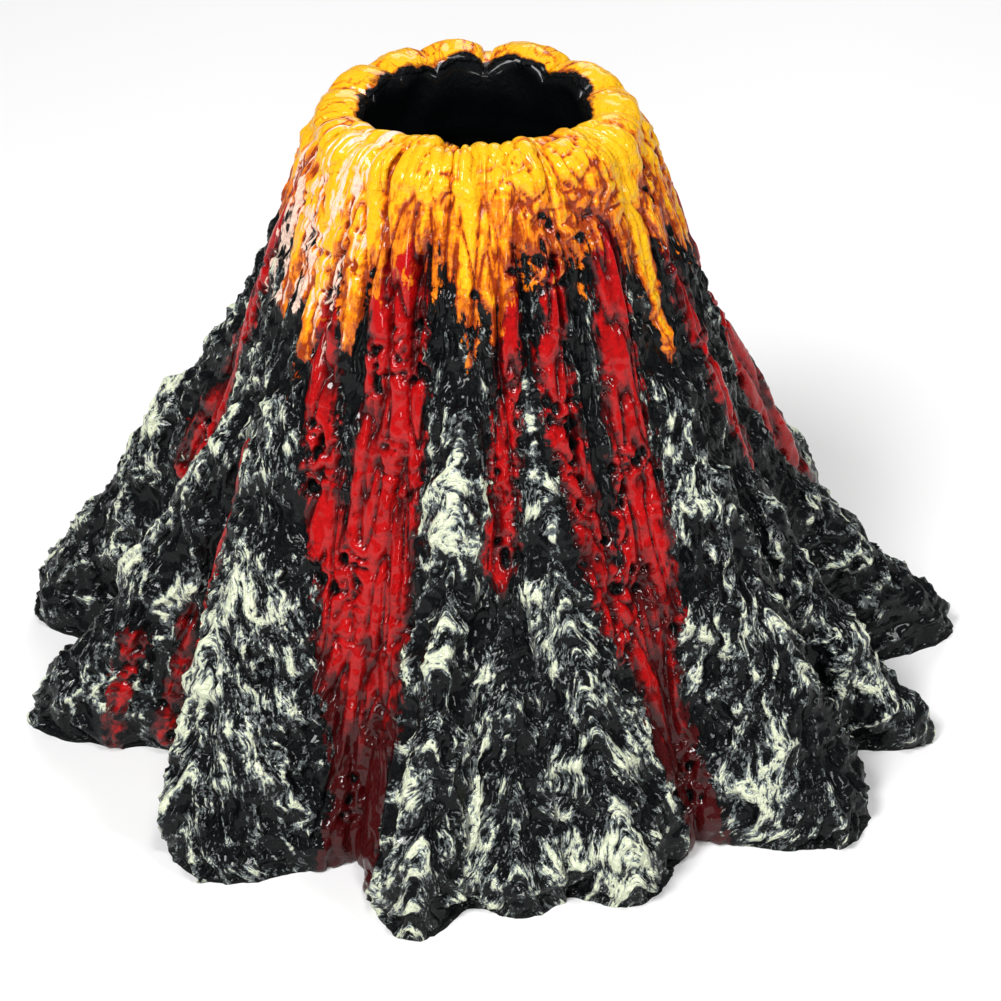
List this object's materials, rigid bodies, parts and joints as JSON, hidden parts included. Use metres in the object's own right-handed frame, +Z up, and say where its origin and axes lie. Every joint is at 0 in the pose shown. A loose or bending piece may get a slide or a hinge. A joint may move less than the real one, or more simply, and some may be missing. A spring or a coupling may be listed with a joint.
{
  "type": "bubbling volcano ornament",
  "caption": "Hollow painted volcano for an aquarium; a small air-stone disc stands inside and sends bubbles out of its open crater.",
  "frame": {"origin": "on the tank floor, at the middle of the footprint", "axes": "+Z up out of the crater, -Y the front that the picture shows, +Y the rear with the air inlet and the hose notch, +X to the viewer's right"},
  "size_m": [0.1532, 0.1339, 0.102],
  "materials": {
    "painted_cast_resin": "mineral-filled cast resin, hand painted black, red and yellow with cream dry-brushing, clear gloss varnish",
    "black_plastic": "moulded, fine satin texture",
    "clear_silicone": "milky translucent, smooth",
    "porous_mineral": "bonded mineral grains, open pores, matt",
    "barb_plastic": "moulded, polished",
    "o_ring_rubber": "smooth, matt"
  },
  "bodies": {
    "bubbler": {"disc_housing": "black_plastic", "stone_gasket": "clear_silicone", "inlet_barb": "barb_plastic", "barb_o_ring": "o_ring_rubber", "suction_cup_front": "clear_silicone", "suction_cup_left": "clear_silicone", "suction_cup_right": "clear_silicone"},
    "stone": {"air_stone_disc": "porous_mineral"},
    "volcano": {"volcano_shell": "painted_cast_resin"}
  },
  "joints": [
    {"name": "shell_lift", "type": "slide", "parent": "bubbler", "child": "volcano", "axis": [0, 0, 1], "range_m": [0, 0.13]},
    {"name": "stone_lift", "type": "slide", "parent": "bubbler", "child": "stone", "axis": [0, 0, 1], "range_m": [0, 0.02]}
  ]
}
